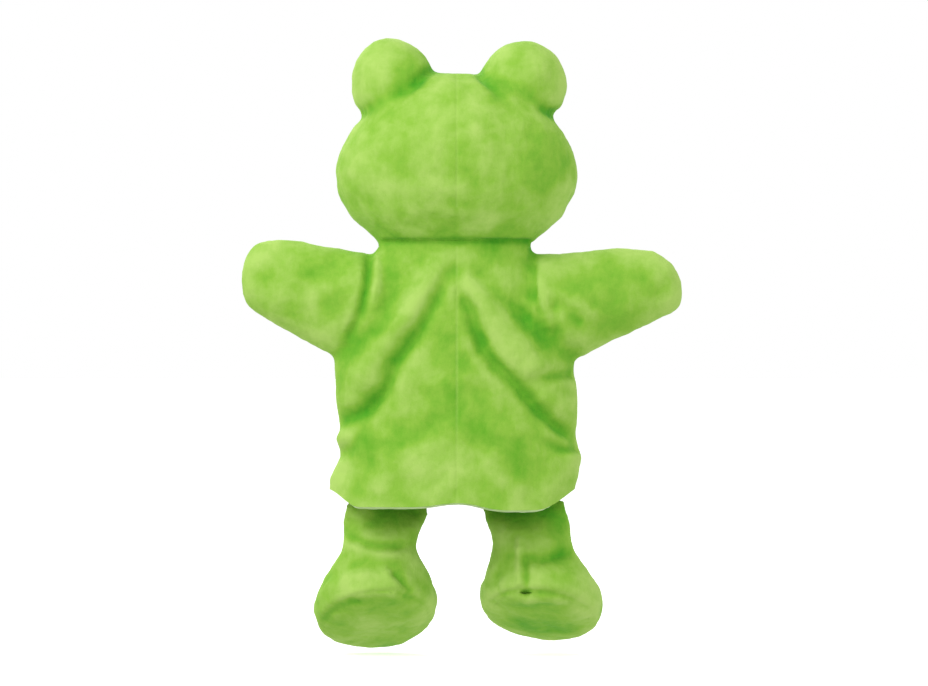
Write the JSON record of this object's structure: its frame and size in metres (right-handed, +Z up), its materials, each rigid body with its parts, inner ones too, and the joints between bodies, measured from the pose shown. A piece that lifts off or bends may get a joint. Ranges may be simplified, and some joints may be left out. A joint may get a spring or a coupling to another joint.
{
  "type": "hand puppet",
  "caption": "Plush frog glove puppet with a stuffed head on a finger tube, mitt arms for finger and thumb, and stuffed legs that hang from the front hem.",
  "frame": {"origin": "middle of the hand opening, on the hem's plane", "axes": "+Z up the glove to the head, the face looks towards -Y, the puppet's own left side is at +X"},
  "size_m": [0.217, 0.0966, 0.3044],
  "materials": {
    "green_plush": "short brushed pile, soft sheen",
    "belly_plush": "short brushed pile, soft sheen",
    "lining_cloth": "plain knitted backing, matte",
    "stuffing": "loose polyester fibre",
    "stitching": "matte sewing thread and folded cloth",
    "felt": "matte felt",
    "black_plastic": "glossy",
    "tube_card": "rolled grey card, matte"
  },
  "bodies": {
    "torso": {"back_panel_left": "green_plush", "back_panel_right": "green_plush", "front_panel": "green_plush", "glove_lining": "lining_cloth", "hem_band": "green_plush", "belly_patch": "belly_plush"},
    "neck_seam": {"neck_seam": "stitching"},
    "neck_sleeve": {"neck_sleeve": "lining_cloth"},
    "head": {"head_back_left": "green_plush", "head_back_right": "green_plush", "head_face": "green_plush", "head_stuffing": "stuffing", "finger_tube": "tube_card", "mouth_stitching": "stitching", "nostril_stitching": "stitching", "eye_dome_left": "green_plush", "eye_dome_right": "green_plush", "eye_stuffing_left": "stuffing", "eye_stuffing_right": "stuffing", "eye_felt_left": "felt", "eye_felt_right": "felt", "eye_pupil_left": "black_plastic", "eye_pupil_right": "black_plastic", "eye_washer_left": "black_plastic", "eye_washer_right": "black_plastic"},
    "armhole_seam_left": {"armhole_seam_left": "stitching"},
    "arm_left": {"arm_back_left": "green_plush", "arm_front_left": "green_plush", "arm_lining_left": "lining_cloth"},
    "leg_left": {"leg_cover_left": "green_plush", "leg_stuffing_left": "stuffing"},
    "ankle_seam_left": {"ankle_seam_left": "stitching"},
    "foot_left": {"foot_upper_left": "green_plush", "foot_sole_left": "green_plush", "foot_stuffing_left": "stuffing"},
    "armhole_seam_right": {"armhole_seam_right": "stitching"},
    "arm_right": {"arm_back_right": "green_plush", "arm_front_right": "green_plush", "arm_lining_right": "lining_cloth"},
    "leg_right": {"leg_cover_right": "green_plush", "leg_stuffing_right": "stuffing"},
    "ankle_seam_right": {"ankle_seam_right": "stitching"},
    "foot_right": {"foot_upper_right": "green_plush", "foot_sole_right": "green_plush", "foot_stuffing_right": "stuffing"}
  },
  "joints": [
    {"name": "head_turn", "type": "hinge", "parent": "torso", "child": "neck_seam", "pos_m": [0, 0, 0.131], "axis": [0, 0, 1], "range_deg": [-30, 30], "stiffness_Nm_per_rad": 0.05},
    {"name": "head_tilt", "type": "hinge", "parent": "neck_seam", "child": "neck_sleeve", "pos_m": [0, 0, 0.131], "axis": [0, 1, 0], "range_deg": [-10, 10], "stiffness_Nm_per_rad": 0.2},
    {"name": "head_nod", "type": "hinge", "parent": "neck_sleeve", "child": "head", "pos_m": [0, 0, 0.131], "axis": [1, 0, 0], "range_deg": [-15, 15], "stiffness_Nm_per_rad": 0.2},
    {"name": "arm_raise_left", "type": "hinge", "parent": "torso", "child": "armhole_seam_left", "pos_m": [0.051, 0, 0.0995], "axis": [0, -1, 0], "range_deg": [-20, 30], "stiffness_Nm_per_rad": 0.04},
    {"name": "arm_reach_left", "type": "hinge", "parent": "armhole_seam_left", "child": "arm_left", "pos_m": [0.051, 0, 0.0995], "axis": [0, 0, -1], "range_deg": [-15, 25], "stiffness_Nm_per_rad": 0.04},
    {"name": "leg_swing_left", "type": "hinge", "parent": "torso", "child": "leg_left", "pos_m": [0.035, -0.0225, -0.0008], "axis": [-1, 0, 0], "range_deg": [-20, 55], "stiffness_Nm_per_rad": 0.012},
    {"name": "foot_flex_left", "type": "hinge", "parent": "leg_left", "child": "ankle_seam_left", "pos_m": [0.039, -0.0115, -0.023], "axis": [-1, 0, 0], "range_deg": [-20, 25], "stiffness_Nm_per_rad": 0.06},
    {"name": "foot_turn_left", "type": "hinge", "parent": "ankle_seam_left", "child": "foot_left", "pos_m": [0.039, -0.0115, -0.023], "axis": [0, 0, 1], "range_deg": [-15, 20], "stiffness_Nm_per_rad": 0.04},
    {"name": "arm_raise_right", "type": "hinge", "parent": "torso", "child": "armhole_seam_right", "pos_m": [-0.051, 0, 0.0995], "axis": [0, 1, 0], "range_deg": [-20, 30], "stiffness_Nm_per_rad": 0.04},
    {"name": "arm_reach_right", "type": "hinge", "parent": "armhole_seam_right", "child": "arm_right", "pos_m": [-0.051, 0, 0.0995], "axis": [0, 0, 1], "range_deg": [-15, 25], "stiffness_Nm_per_rad": 0.04},
    {"name": "leg_swing_right", "type": "hinge", "parent": "torso", "child": "leg_right", "pos_m": [-0.035, -0.0225, -0.0008], "axis": [-1, 0, 0], "range_deg": [-20, 55], "stiffness_Nm_per_rad": 0.012},
    {"name": "foot_flex_right", "type": "hinge", "parent": "leg_right", "child": "ankle_seam_right", "pos_m": [-0.039, -0.0115, -0.023], "axis": [-1, 0, 0], "range_deg": [-20, 25], "stiffness_Nm_per_rad": 0.06},
    {"name": "foot_turn_right", "type": "hinge", "parent": "ankle_seam_right", "child": "foot_right", "pos_m": [-0.039, -0.0115, -0.023], "axis": [0, 0, -1], "range_deg": [-15, 20], "stiffness_Nm_per_rad": 0.04}
  ]
}
